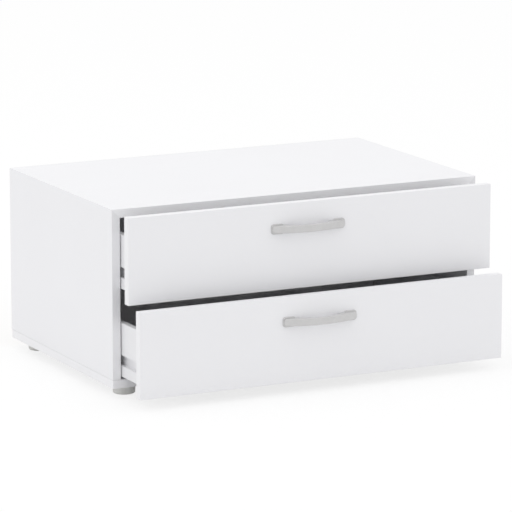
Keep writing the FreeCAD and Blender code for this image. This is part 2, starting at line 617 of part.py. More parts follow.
class Drawer:
    """The places that the pieces of one drawer share."""

    def __init__(self, level):
        self.level = level
        self.low_z = f"derived.{level}_front_z"
        self.face_y = f"derived.front_y - dims.{level}_open"
        self.box_z = f"{self.low_z} + derived.box_rise"
        self.lock_z = f"{self.box_z} + dims.lock_rise"
        self.back_y = f"{self.face_y} + derived.box_long - dims.box_thick"
        self.base_z = f"{self.box_z} + dims.base_rise"
        self.handle_z = f"{self.low_z} + derived.front_high - dims.handle_drop"
        middle = "dims.box_thick / 2"
        self.bolt_at = (f"derived.box_left_x + {middle}", self.face_y, self.lock_z)
        self.lock_at = ("derived.box_inner_x", f"{self.face_y} + dims.lock_set", self.lock_z)
        self.box_screw_at = ("derived.box_left_x", f"{self.back_y} + {middle}", self.lock_z)
        self.base_nail_at = ("derived.box_inner_x + dims.base_nail_end",
                             f"{self.back_y} + {middle}", self.base_z)
        self.handle_screw_at = ("dims.handle_shift - dims.handle_pitch / 2",
                                self.face_y, self.handle_z)


LOCK_PAIR = ("Z_Axis", "dims.lock_step", "2")
BOLTS_ACROSS = ("X_Axis", "derived.box_wide - dims.box_thick", "2")
HANDLE_PAIR = ("X_Axis", "dims.handle_pitch", "2")
BASE_NAIL_ROW = ("X_Axis", "(derived.box_wide - 2 * dims.box_thick - 2 * dims.base_nail_end)"
                           " / (dims.base_nails - 1)", "dims.base_nails")


def make_front(drawer):
    """Flat front with banded edges, bored for the handle and the box, slotted for the base."""
    corner = ("-derived.front_wide / 2", f"{drawer.face_y} - dims.front_thick", drawer.low_z)
    body = slab(f"{drawer.level}_front", corner,
                "derived.front_wide", "dims.front_thick", "derived.front_high")
    round_edges(body, "dims.front_round", lambda edge: True)
    slot_at = ("derived.box_inner_x - dims.slot_deep", drawer.face_y, drawer.base_z)
    slot = new_sketch(body, "base_slot", "XZ_Plane", *local(body, slot_at))
    rectangle(slot, "0", "0", "derived.box_wide - 2 * dims.box_thick + 2 * dims.slot_deep",
              "dims.base_thick + dims.slot_play")
    pocket(body, slot, "dims.slot_deep", reverse=True)
    bolt_hole = turned(body, "Groove", LOCK_BOLT_HOLE, drawer.bolt_at, "+Y")
    repeat(body, [bolt_hole], LOCK_PAIR, BOLTS_ACROSS)
    handle_hole = turned(body, "Groove", HANDLE_SCREW, drawer.handle_screw_at, "-Y")
    repeat(body, [handle_hole], HANDLE_PAIR)


def make_drawer_sides(drawer):
    """Sides with the runner groove outside and the slot for the base inside."""
    body = slab(f"{drawer.level}_side_left",
                ("derived.box_left_x", drawer.face_y, drawer.box_z),
                "dims.box_thick", "derived.box_long", "dims.box_high")
    top = number("dims.box_high")
    round_edges(body, "dims.box_round",
                lambda edge: edge.BoundBox.ZMin > top - SAME and edge.BoundBox.XLength < SAME)
    groove = new_sketch(body, "runner_groove", "XZ_Plane")
    rectangle(groove, "0", "dims.groove_rise", "dims.groove_deep", "dims.groove_high")
    pocket(body, groove)
    slot = new_sketch(body, "base_slot", "XZ_Plane")
    rectangle(slot, "dims.box_thick - dims.slot_deep", "dims.base_rise",
              "dims.slot_deep", "dims.base_thick + dims.slot_play")
    pocket(body, slot)
    channel = turned(body, "Groove", LOCK_CHANNEL, drawer.bolt_at, "+Y")
    lock_hole = turned(body, "Groove", LOCK, drawer.lock_at, "-X")
    screw_hole = turned(body, "Groove", BOX_SCREW, drawer.box_screw_at, "+X")
    repeat(body, [channel, lock_hole, screw_hole], LOCK_PAIR)
    mirrored(f"{drawer.level}_side_right", body)


def make_drawer_back(drawer):
    """Back board of the box, which stands on the drawer bottom."""
    corner = ("derived.box_inner_x", drawer.back_y, f"{drawer.base_z} + dims.base_thick")
    high = "dims.box_high - dims.base_rise - dims.base_thick"
    body = slab(f"{drawer.level}_back", corner, "derived.box_wide - 2 * dims.box_thick",
                "dims.box_thick", high)
    top = number(high)
    round_edges(body, "dims.box_round",
                lambda edge: edge.BoundBox.ZMin > top - SAME and edge.BoundBox.YLength < SAME)
    screw_hole = turned(body, "Groove", BOX_SCREW, drawer.box_screw_at, "+X")
    mirror_hole = turned(body, "Groove", BOX_SCREW,
                         ("-derived.box_left_x",) + drawer.box_screw_at[1:], "-X")
    repeat(body, [screw_hole, mirror_hole], LOCK_PAIR)
    nail_hole = turned(body, "Groove", NAIL, drawer.base_nail_at, "+Z")
    repeat(body, [nail_hole], BASE_NAIL_ROW)


def make_drawer_base(drawer):
    """Hardboard bottom, held in the slots of the sides and the front."""
    reach = "dims.slot_deep - dims.slot_end_gap"
    corner = (f"derived.box_inner_x - ({reach})", f"{drawer.face_y} - ({reach})", drawer.base_z)
    body = slab(f"{drawer.level}_base", corner,
                f"derived.box_wide - 2 * dims.box_thick + 2 * ({reach})",
                f"derived.box_long + ({reach})", "dims.base_thick")
    nail_hole = turned(body, "Groove", NAIL, drawer.base_nail_at, "+Z")
    repeat(body, [nail_hole], BASE_NAIL_ROW)


def make_cam_locks(drawer):
    """Cam locks with a cross recess, sunk in the inner faces of the drawer sides."""
    body = new_body(f"{drawer.level}_cam_locks", "0", drawer.lock_at[1], drawer.lock_at[2])
    barrel = turned(body, "Revolution", LOCK, drawer.lock_at, "-X")
    channel = turned(body, "Groove", LOCK_CHANNEL, drawer.bolt_at, "+Y")
    cross = new_sketch(body, "cross", "YZ_Plane", *local(body, drawer.lock_at))
    long_arm = "dims.lock_cross / 2"
    half_wide = "dims.lock_cross_wide / 2"
    corner = [(long_arm, half_wide), (half_wide, half_wide), (half_wide, long_arm)]
    points = corner + [(f"-{a}", b) for a, b in reversed(corner)]
    points += [(f"-{a}", f"-{b}") for a, b in corner]
    points += [(a, f"-{b}") for a, b in reversed(corner)]
    outline(cross, points)
    recess = pocket(body, cross, "dims.lock_cross_deep")
    repeat(body, [barrel, channel, recess], LOCK_PAIR, ("YZ_Plane",))


def make_drawer_fasteners(drawer):
    """Cam bolts, box screws, nails of the drawer bottom and handle screws."""
    bolts = new_body(f"{drawer.level}_cam_bolts", *drawer.bolt_at)
    bolt = turned(bolts, "Revolution", LOCK_BOLT, drawer.bolt_at, "+Y")
    repeat(bolts, [bolt], LOCK_PAIR, BOLTS_ACROSS)
    box_screws = new_body(f"{drawer.level}_box_screws", "0", *drawer.box_screw_at[1:])
    box_screw = turned(box_screws, "Revolution", BOX_SCREW, drawer.box_screw_at, "+X")
    repeat(box_screws, [box_screw], LOCK_PAIR, ("YZ_Plane",))
    nails = new_body(f"{drawer.level}_base_nails", *drawer.base_nail_at)
    nail = turned(nails, "Revolution", NAIL, drawer.base_nail_at, "+Z")
    repeat(nails, [nail], BASE_NAIL_ROW)
    handle_screws = new_body(f"{drawer.level}_handle_screws", *drawer.handle_screw_at)
    handle_screw = turned(handle_screws, "Revolution", HANDLE_SCREW, drawer.handle_screw_at, "-Y")
    repeat(handle_screws, [handle_screw], HANDLE_PAIR)


def rounded_rectangle(sketch, left, right, high, radius):
    """A rectangle with round corners, as high above the sketch's axis as below it."""
    near = f"(1 - cos(45)) * {radius}"
    outline(sketch,
            [(f"{right} - {radius}", f"-{high}"), (right, f"-({high} - {radius})"),
             (right, f"{high} - {radius}"), (f"{right} - {radius}", high),
             (f"{left} + {radius}", high), (left, f"{high} - {radius}"),
             (left, f"-({high} - {radius})"), (f"{left} + {radius}", f"-{high}")],
            through={0: (f"{right} - {near}", f"-({high} - {near})"),
                     2: (f"{right} - {near}", f"{high} - {near}"),
                     4: (f"{left} + {near}", f"{high} - {near}"),
                     6: (f"{left} + {near}", f"-({high} - {near})")})


def make_handle(drawer):
    """Cast bow handle: a bow of even height, arched in plan, on two rounded foot plates."""
    body = new_body(f"{drawer.level}_handle", "dims.handle_shift",
                    f"{drawer.face_y} - dims.front_thick", drawer.handle_z)
    end = "dims.handle_span / 2"
    heel = f"{end} - dims.handle_foot"
    tip = f"{end} - dims.handle_ledge"
    plan = new_sketch(body, "plan", "XY_Plane")
    outline(plan, [(f"-({tip})", "0"), (f"-({tip})", "-dims.handle_end_thick"),
                   (tip, "-dims.handle_end_thick"), (tip, "0"), (heel, "0"), (f"-({heel})", "0")],
            through={1: ("0", "-dims.handle_reach"),
                     4: ("0", "-(dims.handle_reach - dims.handle_strap)")})
    pad(body, plan, "dims.handle_mid_high", symmetric=True)
    tip_half = number(tip)
    round_edges(body, "dims.handle_corner",
                lambda edge: edge.BoundBox.XLength < SAME and edge.BoundBox.ZLength < SAME
                and abs(abs(edge.BoundBox.XMax) - tip_half) < SAME)
    round_edges(body, "dims.handle_round", lambda edge: edge.BoundBox.YMax < -SAME)
    front_view = new_sketch(body, "foot_plate", "XZ_Plane")
    rounded_rectangle(front_view, heel, end, "dims.handle_end_high / 2", "dims.handle_plate_corner")
    plate = pad(body, front_view, "dims.handle_plate")
    repeat(body, [plate], ("YZ_Plane",))
    plate_y = -number("dims.handle_plate")
    span_half = number(end)
    bow_top = number("dims.handle_mid_high / 2")
    round_edges(body, "dims.handle_plate_round",
                lambda edge: edge.BoundBox.YLength < SAME and abs(edge.BoundBox.YMax - plate_y) < SAME
                and (abs(edge.CenterOfMass.z) > bow_top + SAME
                     or abs(abs(edge.CenterOfMass.x) - span_half) < SAME))
    hole = turned(body, "Groove", HANDLE_SCREW, drawer.handle_screw_at, "-Y")
    repeat(body, [hole], HANDLE_PAIR)


def make_drawer(level):
    """All pieces of the upper or the lower drawer."""
    drawer = Drawer(level)
    make_front(drawer)
    make_drawer_sides(drawer)
    make_drawer_back(drawer)
    make_drawer_base(drawer)
    make_handle(drawer)
    make_cam_locks(drawer)
    make_drawer_fasteners(drawer)


def check_document():
    """Stop if a feature failed, a cut removed nothing, or a piece isn't sound."""
    for item in doc.Objects:
        if "Invalid" in item.State or "Error" in item.State:
            raise SystemExit(f"{item.Name} failed: {item.State}")
        if item.TypeId in ("PartDesign::Pocket", "PartDesign::Groove"):
            if item.Shape.Volume > item.BaseFeature.Shape.Volume - LEAST_CUT:
                raise SystemExit(f"{item.Name} cuts nothing")
    for piece in SUBPARTS:
        if piece.Shape.isNull() or not piece.Shape.isValid() or not piece.Shape.Solids:
            raise SystemExit(f"{piece.Label} isn't a sound solid")


make_top_panel()
make_side_panels()
make_bottom_panel()
make_back_panel()
make_carcass_fasteners()
make_runner_strips()
make_feet()
make_drawer("upper")
make_drawer("lower")
doc.recompute()
check_document()
os.makedirs("parts", exist_ok=True)
for piece in SUBPARTS:
    piece.Shape.exportStep(os.path.join("parts", piece.Label + ".step"))
    print(f"{piece.Label}: {len(piece.Shape.Solids)} solid(s), {piece.Shape.Volume:.0f} mm3")
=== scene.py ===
"""Low chest with two drawers: the finish of every piece, a plain studio and the camera.

Metres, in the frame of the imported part: +Z up, X along the width, the fronts towards -Y.
"""
import math

import bmesh
import bpy
from mathutils import Euler, Matrix, Vector


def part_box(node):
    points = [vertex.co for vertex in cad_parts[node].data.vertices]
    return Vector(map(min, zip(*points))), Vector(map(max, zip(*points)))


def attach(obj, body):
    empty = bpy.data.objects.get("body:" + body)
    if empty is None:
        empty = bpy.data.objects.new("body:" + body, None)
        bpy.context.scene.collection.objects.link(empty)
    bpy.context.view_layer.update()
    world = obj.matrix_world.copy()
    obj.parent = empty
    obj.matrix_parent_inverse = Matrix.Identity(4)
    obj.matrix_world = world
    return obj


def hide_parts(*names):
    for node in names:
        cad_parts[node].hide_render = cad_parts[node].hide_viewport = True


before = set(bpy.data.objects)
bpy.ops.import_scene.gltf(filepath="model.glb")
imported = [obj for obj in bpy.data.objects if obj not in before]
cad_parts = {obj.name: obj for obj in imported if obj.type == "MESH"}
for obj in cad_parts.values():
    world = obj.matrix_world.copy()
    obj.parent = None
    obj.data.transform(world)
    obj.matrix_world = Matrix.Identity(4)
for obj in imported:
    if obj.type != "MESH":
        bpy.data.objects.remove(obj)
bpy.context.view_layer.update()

MM = 0.001
X, Y, Z = 0, 1, 2
FULL_TURN = 2 * math.pi

# Sockets of a Mix node that mixes colours
MIX_SHARE = 0
MIX_FIRST = 6
MIX_SECOND = 7
MIX_RESULT = 2

# Between these lies nearly all of a noise texture
NOISE_LOW = 0.3
NOISE_HIGH = 0.7


def add_node(tree, kind, inputs=None, **settings):
    """A node with its settings. Its inputs take numbers, colours or other sockets."""
    node = tree.nodes.new(kind)
    for name, value in settings.items():
        setattr(node, name, value)
    for name, value in (inputs or {}).items():
        if isinstance(value, bpy.types.NodeSocket):
            tree.links.new(value, node.inputs[name])
        else:
            node.inputs[name].default_value = value
    return node


class Finish:
    """A node material while it is built."""

    def __init__(self, name):
        self.material = bpy.data.materials.new(name)
        self.material.use_nodes = True
        self.tree = self.material.node_tree
        self.tree.nodes.clear()
        self.place = self.add("ShaderNodeTexCoord").outputs["Object"]
        self.axes = self.add("ShaderNodeSeparateXYZ", {"Vector": self.place}).outputs

    def add(self, kind, inputs=None, **settings):
        """A node of this material."""
        return add_node(self.tree, kind, inputs, **settings)

    def sum(self, operation, a, b=0.0):
        """One step of arithmetic."""
        return self.add("ShaderNodeMath", {0: a, 1: b}, operation=operation).outputs[0]

    def least(self, *values):
        """The least of several values."""
        result = values[0]
        for value in values[1:]:
            result = self.sum("MINIMUM", result, value)
        return result

    def step(self, value, start, end, low=0.0, high=1.0):
        """A smooth change from low to high as the value goes from start to end."""
        return self.add("ShaderNodeMapRange", {"Value": value, "From Min": start, "From Max": end,
                                               "To Min": low, "To Max": high},
                        interpolation_type="SMOOTHSTEP").outputs[0]

    def spread(self, noise, low=0.0, high=1.0):
        """A noise texture spread over the range from low to high."""
        return self.step(noise, NOISE_LOW, NOISE_HIGH, low, high)

    def noise(self, size, detail=2.0, roughness=0.5, stretch=(1, 1, 1)):
        """Noise from 0 to 1 whose features are about size metres, longer along stretch."""
        place = self.place
        if stretch != (1, 1, 1):
            scale = [1 / s for s in stretch]
            place = self.add("ShaderNodeMapping", {"Vector": place, "Scale": scale}).outputs[0]
        return self.add("ShaderNodeTexNoise", {"Vector": place, "Scale": 1 / size,
                                               "Detail": detail,
                                               "Roughness": roughness}).outputs[0]

    def mix(self, share, first, second):
        """A colour between two colours."""
        node = self.add("ShaderNodeMix", data_type="RGBA")
        for socket, value in ((node.inputs[MIX_SHARE], share), (node.inputs[MIX_FIRST], first),
                              (node.inputs[MIX_SECOND], second)):
            if isinstance(value, bpy.types.NodeSocket):
                self.tree.links.new(value, socket)
            else:
                socket.default_value = value if isinstance(value, float) else (*value, 1.0)
        return node.outputs[MIX_RESULT]

    def bump(self, height, depth, below=None):
        """A surface raised by up to depth metres where the height is 1."""
        inputs = {"Height": height, "Strength": 1.0, "Distance": depth}
        if below is not None:
            inputs["Normal"] = below
        return self.add("ShaderNodeBump", inputs).outputs[0]

    def close(self, colour, roughness, normal, **more):
        """Joins the surface to the output and gives the material."""
        inputs = {"Base Color": colour, "Roughness": roughness, "Normal": normal, **more}
        shader = self.add("ShaderNodeBsdfPrincipled", inputs)
        self.add("ShaderNodeOutputMaterial", {"Surface": shader.outputs[0]})
        return self.material


def shade(colour, share):
    """A colour made darker."""
    return tuple(channel * share for channel in colour)


# Colours as linear light
WHITE = (0.893, 0.893, 0.914)
WHITE_BAND = (0.90, 0.90, 0.918)
# Band of the sides' front edges: the band colour made darker, painted shade of those edges
SIDE_BAND_PAINTED_SHADE = (0.845, 0.845, 0.862)
BOX_WHITE = (0.865, 0.865, 0.883)
BAND_LINE = (0.66, 0.66, 0.66)
# Dark joint line, also painted shade of the crevice where the sides stand on the bottom board
JOINT_LINE_AND_SHADE = (0.30, 0.30, 0.30)
CHIP_DARK = (0.30, 0.19, 0.10)
CHIP_LIGHT = (0.60, 0.44, 0.27)
HARDBOARD_BROWN = (0.24, 0.13, 0.065)
HARDBOARD_LIGHT = (0.34, 0.20, 0.11)
HARDBOARD_WHITE = (0.795, 0.795, 0.81)
PRIMER = (0.70, 0.70, 0.71)
PRIMER_LIGHT = (0.78, 0.78, 0.79)
STRIP_PLASTIC = (0.74, 0.74, 0.73)
FOOT_PLASTIC = (0.80, 0.80, 0.775)
NICKEL = (0.63, 0.625, 0.625)
ZINC = (0.62, 0.63, 0.65)
CAST_ZINC = (0.46, 0.46, 0.47)
BEECH = (0.62, 0.42, 0.24)
BEECH_DARK = (0.50, 0.31, 0.16)

# A matt coat over the nickel
MATT_LACQUER = {"Metallic": 0.45, "Sheen Weight": 0.4, "Sheen Roughness": 0.4}
PLASTIC_IOR = 1.49

# Board finish
BAND_THICK = 0.8 * MM       # edge band of a board
BAND_FULL = 0.9             # share of the band's thickness where its colour is full
SEAM_HALF = 0.12 * MM       # half the line between a band and the coat beside it
SEAM_SHARE = 0.35           # how much that line shows
RAW_DEPTH = 0.2 * MM        # how deep the uncoated rear edge reaches in the finish
RAW_ROUGHER = 0.45          # how much rougher the uncoated edge is
RAW_RELIEF = 0.25 * MM      # relief of the uncoated edge
CHIP_SIZE = 1.7 * MM        # flakes in a sawn chipboard edge
CHIP_SHARE = 0.7            # share of the flakes in that edge's colour
FINE_SHARE = 0.3            # share of the fine bed in that edge's colour
PEARL_RELIEF = 0.012 * MM   # pearl grain of the coat
WAVE_RELIEF = 0.10 * MM     # slow waves of the coat
PORE_RELIEF = 0.02 * MM     # pores of the foil on a drawer board
JOINT_WIDE = 0.3 * MM       # dark line at each side of a joint between two boards: a dark joint and painted shade of the crevice
JOINT_FULL = 0.3            # share of that line's width where it is full
JOINT_SHARE = 0.75          # how much that line shows
MITRE_WIDE = 0.15 * MM      # hairline of the mitre, to each side
MITRE_SHARE = 0.22          # how much the hairline shows
SCREEN_PITCH = 1.8 * MM     # screen pattern on the rough side of hardboard
SCREEN_RELIEF = 0.06 * MM   # relief of that pattern
FIBRE_SHARE = 2.0           # relief of the fibres against that of the pattern


def chipboard(finish):
    """Colour of a sawn chipboard edge: flakes of wood in a fine-grained bed."""
    flakes = finish.add("ShaderNodeTexVoronoi", {"Vector": finish.place, "Scale": 1 / CHIP_SIZE,
                                                 "Randomness": 1.0})
    tone = finish.add("ShaderNodeSeparateColor", {0: flakes.outputs["Color"]}).outputs[0]
    fine = finish.noise(size=0.6 * MM, detail=3.0)
    both = finish.sum("ADD", finish.sum("MULTIPLY", tone, CHIP_SHARE),
                      finish.sum("MULTIPLY", fine, FINE_SHARE))
    return finish.mix(both, CHIP_DARK, CHIP_LIGHT)


def melamine(name, box, across, raw_rear, joint, band_colour):
    """White coated board with banded edges. across are the axes of its wide face's bands.

    joint(finish) gives where a joint with another board shows, from 0 to 1: a dark joint line, which
    along the seam over the bottom board is also painted shade of the crevice. band_colour is the
    colour of the edge bands, with painted shade on the sides' front edges."""
    finish = Finish(name)
    low, high = box
    gaps = []
    for axis in across:
        gaps.append(finish.sum("SUBTRACT", finish.axes[axis], low[axis]))
        gaps.append(finish.sum("SUBTRACT", high[axis], finish.axes[axis]))
    edge_gap = finish.least(*gaps)
    seam = finish.sum("ABSOLUTE", finish.sum("SUBTRACT", edge_gap, BAND_THICK))
    seam_line = finish.step(seam, start=0.0, end=SEAM_HALF, low=SEAM_SHARE, high=0.0)
    band = finish.step(edge_gap, start=BAND_THICK, end=BAND_THICK * BAND_FULL)
    cloud = finish.noise(size=220 * MM, detail=3.0, roughness=0.55)
    speck = finish.noise(size=2.5 * MM, detail=4.0, roughness=0.6)
    cloudy = shade(WHITE, 0.99)
    speckled = shade(WHITE, 0.97)
    coat = finish.mix(finish.spread(cloud), WHITE, cloudy)
    coat = finish.mix(finish.step(speck, start=0.45, end=0.75, high=0.25), coat, speckled)
    colour = finish.mix(band, coat, band_colour)
    colour = finish.mix(seam_line, colour, BAND_LINE)
    # Dark joint lines; at the seam over the bottom board they are also painted shade of the crevice
    if joint is not None:
        colour = finish.mix(joint(finish), colour, JOINT_LINE_AND_SHADE)
    patches = finish.noise(size=4 * MM, detail=4.0, roughness=0.6)
    roughness = finish.spread(patches, low=0.36, high=0.46)
    pearl = finish.noise(size=0.9 * MM, detail=3.0, roughness=0.55)
    waves = finish.noise(size=60 * MM)
    normal = finish.bump(waves, WAVE_RELIEF, below=finish.bump(pearl, PEARL_RELIEF))
    if raw_rear:
        from_rear = finish.sum("SUBTRACT", high[Y], finish.axes[Y])
        raw = finish.step(from_rear, start=RAW_DEPTH, end=0.0)
        colour = finish.mix(raw, colour, chipboard(finish))
        roughness = finish.sum("ADD", roughness, finish.sum("MULTIPLY", raw, RAW_ROUGHER))
        grain = finish.sum("MULTIPLY", finish.noise(size=0.8 * MM, detail=4.0, roughness=0.7), raw)
        normal = finish.bump(grain, RAW_RELIEF, below=normal)
    return finish.close(colour, roughness, normal)


def mitre_line(finish):
    """Hairline where the top board's bevelled ends meet the sides."""
    low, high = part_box("top_panel")
    from_side = finish.sum("SUBTRACT", high[X], finish.sum("ABSOLUTE", finish.axes[X]))
    from_top = finish.sum("SUBTRACT", high[Z], finish.axes[Z])
    off = finish.sum("ABSOLUTE", finish.sum("SUBTRACT", from_side, from_top))
    return finish.step(off, start=MITRE_WIDE, end=0.0, high=MITRE_SHARE)


def joint_line_and_shade(finish, distance):
    """Dark line along a joint between two boards, at a distance from its plane: a dark joint with
    painted shade of the crevice.
    """
    return finish.step(distance, start=JOINT_WIDE, end=JOINT_WIDE * JOINT_FULL, high=JOINT_SHARE)


def side_joint(finish):
    """The mitre above, and the line where a side stands on the bottom board, a dark joint with painted
    shade of the crevice.
    """
    rise = finish.sum("SUBTRACT", finish.axes[Z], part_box("side_panel_left")[0][Z])
    return finish.sum("MAXIMUM", joint_line_and_shade(finish, rise), mitre_line(finish))


def bottom_joint(finish):
    """The line under both sides along the upper edge of the bottom board, a dark joint with painted
    shade of the crevice.
    """
    drop = finish.sum("SUBTRACT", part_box("bottom_panel")[1][Z], finish.axes[Z])
    inner = -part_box("side_panel_left")[1][X]
    under = finish.sum("GREATER_THAN", finish.sum("ABSOLUTE", finish.axes[X]), inner)
    return finish.sum("MULTIPLY", joint_line_and_shade(finish, drop), under)


def wrapped_board(name):
    """Drawer board wrapped in white foil, a little softer than the carcass board."""
    finish = Finish(name)
    speck = finish.noise(size=3.0 * MM, detail=4.0, roughness=0.6)
    cloud = finish.noise(size=120 * MM)
    cloudy = shade(BOX_WHITE, 0.985)
    speckled = shade(BOX_WHITE, 0.96)
    colour = finish.mix(finish.spread(cloud), BOX_WHITE, cloudy)
    colour = finish.mix(finish.step(speck, start=0.45, end=0.8, high=0.3), colour, speckled)
    patches = finish.noise(size=5 * MM, detail=3.0)
    roughness = finish.spread(patches, low=0.42, high=0.52)
    pores = finish.noise(size=0.7 * MM, detail=3.0, roughness=0.6, stretch=(1, 8, 1))
    return finish.close(colour, roughness, finish.bump(pores, PORE_RELIEF))


def hardboard(name, smooth_side, axis, dark, light):
    """Hardboard, coated on one side and plain or primed with a screen pattern on the other.

    The coated side is the one whose normal along the axis has the sign of smooth_side."""
    finish = Finish(name)
    normal = finish.add("ShaderNodeTexCoord").outputs["Normal"]
    along = finish.add("ShaderNodeSeparateXYZ", {"Vector": normal}).outputs[axis]
    coated = finish.step(finish.sum("MULTIPLY", along, smooth_side), start=0.5, end=0.9)
    fibre = finish.noise(size=1.4 * MM, detail=5.0, roughness=0.7)
    cloud = finish.noise(size=90 * MM, detail=3.0)
    cloudy = shade(dark, 0.85)
    rough = finish.mix(finish.spread(fibre), dark, light)
    rough = finish.mix(finish.spread(cloud, high=0.5), rough, cloudy)
    speck = finish.noise(size=5 * MM, detail=4.0)
    speckled = shade(HARDBOARD_WHITE, 0.95)
    coat = finish.mix(finish.step(speck, start=0.3, end=0.8, high=0.4), HARDBOARD_WHITE, speckled)
    colour = finish.mix(coated, rough, coat)
    roughness = finish.step(coated, start=0.0, end=1.0, low=0.85, high=0.5)
    waves = [finish.sum("SINE", finish.sum("MULTIPLY", finish.axes[other], FULL_TURN / SCREEN_PITCH))
             for other in (X, Y, Z) if other != axis]
    screen = finish.sum("MULTIPLY", *waves)
    pattern = finish.sum("ADD", screen, finish.sum("MULTIPLY", fibre, FIBRE_SHARE))
    relief = finish.sum("MULTIPLY", pattern, finish.sum("SUBTRACT", 1.0, coated))
    return finish.close(colour, roughness, finish.bump(relief, SCREEN_RELIEF))


def moulded(name, colour, roughness):
    """Moulded plastic with a fine spark-eroded grain."""
    finish = Finish(name)
    unevenness = 0.05
    mottle = finish.noise(size=8 * MM, detail=3.0)
    mottled = shade(colour, 0.96)
    tone = finish.mix(finish.spread(mottle), colour, mottled)
    patches = finish.noise(size=1.5 * MM, detail=3.0)
    gloss = finish.spread(patches, low=roughness - unevenness, high=roughness + unevenness)
    spark = finish.noise(size=0.35 * MM, roughness=0.6)
    grain = finish.bump(spark, depth=0.03 * MM)
    return finish.close(tone, gloss, grain, **{"IOR": PLASTIC_IOR})


def metal(name, colour, roughness, grain_size, grain_depth, stretch=(1, 1, 1), **more):
    """Metal with a fine finish, duller and brighter in patches."""
    finish = Finish(name)
    brighter = 0.05
    duller = 0.06
    patch = finish.noise(size=12 * MM, detail=4.0, roughness=0.6)
    patchy = shade(colour, 0.95)
    tone = finish.mix(finish.spread(patch), colour, patchy)
    spots = finish.noise(size=2 * MM, detail=4.0, roughness=0.6)
    gloss = finish.step(spots, start=0.25, end=0.75, low=roughness - brighter, high=roughness + duller)
    brushed = finish.noise(grain_size, detail=3.0, roughness=0.6, stretch=stretch)
    grain = finish.bump(brushed, grain_depth)
    return finish.close(tone, gloss, grain, **{"Metallic": 1.0, **more})


def beech(name):
    """Beech with its long grain along Z and short dark flecks."""
    finish = Finish(name)
    grain = finish.noise(size=0.6 * MM, detail=4.0, roughness=0.6, stretch=(1, 1, 14))
    colour = finish.mix(finish.step(grain, start=0.35, end=0.7), BEECH, BEECH_DARK)
    relief = finish.bump(grain, depth=0.05 * MM)
    return finish.close(colour, roughness=0.6, normal=relief)


def dress(node, material):
    """Gives a CAD node its finish."""
    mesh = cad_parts[node].data
    mesh.materials.clear()
    mesh.materials.append(material)


# Turned and threaded pieces
AROUND = 20                 # points around a fastener
RINGS_A_TURN = 6            # rings of points to one turn of a thread
RIDGE_AT = 0.5              # where in a turn the thread's ridge is
RIDGE_HALF = 0.3            # half the width of that ridge, as a share of the pitch
BLUNT = 0.12                # how much of its radius a screw's point keeps
FIT = 0.98                  # share of its CAD radius that a shank or thread fills
WELD = 0.001 * MM           # points this close are one
CREASE = math.radians(32)   # edges sharper than this stay sharp
HEXAGON_CORNERS = 6

# Radius and height in mm, from the rim of the head's face to where the thread begins
JOINT_SCREW_PROFILE = (
    (4.85, 0),      # rim of the head's face
    (4.95, 0.15),   # widest part of the head
    (3.45, 1.6),    # foot of the head's cone
    (3.45, 15.8),   # end of the plain neck
    (2.0, 16.6),    # start of the thread
)
CAM_BOLT_PROFILE = (
    (1.9, 0),       # rim of the ball's face
    (2.7, 0.35),
    (2.95, 1.0),    # widest part of the ball
    (2.7, 1.65),
    (1.68, 2.0),    # neck that the lock grips
    (1.68, 5.4),
    (2.9, 5.6),     # start of the plain shank
    (2.95, 24.9),   # end of the plain shank
    (1.7, 25.2),    # start of the thread
)

# Radius and height of a domed head, as shares of the head's own
DOME = ((0.62, 0), (0.86, 0.16), (0.97, 0.45), (1, 0.75), (1, 1))


def ring(mesh, radius, height, count=AROUND):
    """Points round the axis at a height. The radius is a number or depends on the angle."""
    points = []
    for index in range(count):
        angle = FULL_TURN * index / count
        reach = radius(angle) if callable(radius) else radius
        points.append(mesh.verts.new((reach * math.cos(angle), reach * math.sin(angle), height)))
    return points


def skin(mesh, rings):
    """Faces between each ring and the next."""
    for first, second in zip(rings, rings[1:]):
        for a, b, c, d in zip(first, first[1:] + first[:1], second[1:] + second[:1], second):
            mesh.faces.new((a, b, c, d))


def cross(reach, half_wide):
    """Outline of a cross recess."""
    corner = [(reach, half_wide), (half_wide, half_wide), (half_wide, reach)]
    upper = corner + [(-x, y) for x, y in reversed(corner)]
    return upper + [(-x, -y) for x, y in upper]


def hexagon(reach):
    """Outline of a hexagon socket."""
    angles = [FULL_TURN * corner / HEXAGON_CORNERS for corner in range(HEXAGON_CORNERS)]
    return [(reach * math.cos(angle), reach * math.sin(angle)) for angle in angles]


def sink(mesh, rim, outline, depth, narrow):
    """A socket in the flat face inside the rim, narrower at its floor."""
    height = rim[0].co.z
    top = [mesh.verts.new((x, y, height)) for x, y in outline]
    floor = [mesh.verts.new((x * narrow, y * narrow, height + depth)) for x, y in outline]
    edges = []
    for loop in (rim, top):
        for pair in zip(loop, loop[1:] + loop[:1]):
            edges.append(mesh.edges.get(pair) or mesh.edges.new(pair))
    bmesh.ops.triangle_fill(mesh, use_beauty=True, edges=edges)
    skin(mesh, [top, floor])
    mesh.faces.new(floor)


def thread(mesh, start, end, core, outer, pitch, point):
    """Rings of a helical ridge from start to end, whose last stretch runs to a point."""
    count = round((end - start) / pitch * RINGS_A_TURN)
    rings = []
    for index in range(count + 1):
        along = start + (end - start) * index / count
        rise = (outer - core) * min(1.0, (along - start) / pitch)
        slim = min(1.0, BLUNT + (1 - BLUNT) * (end - along) / point) if point else 1.0

        def reach(angle):
            turn = (along / pitch - angle / FULL_TURN) % 1
            ridge = max(0.0, 1 - abs(turn - RIDGE_AT) / RIDGE_HALF)
            return slim * (core + rise * ridge)

        rings.append(ring(mesh, reach, along))
    return rings


def screw(profile, socket, depth, narrow, long, core, outer, pitch, point):
    """A screw that points to +Z, with its head's face at 0.

    The profile leads from the rim of the face to where the thread begins."""
    mesh = bmesh.new()
    rings = [ring(mesh, radius, height) for radius, height in profile]
    rings += thread(mesh, profile[-1][1], long, core, outer, pitch, point)[1:]
    skin(mesh, rings)
    sink(mesh, rings[0], socket, depth, narrow)
    mesh.faces.new(rings[-1])
    return mesh


def in_metres(profile):
    """A profile given in mm."""
    return [(radius * MM, height * MM) for radius, height in profile]


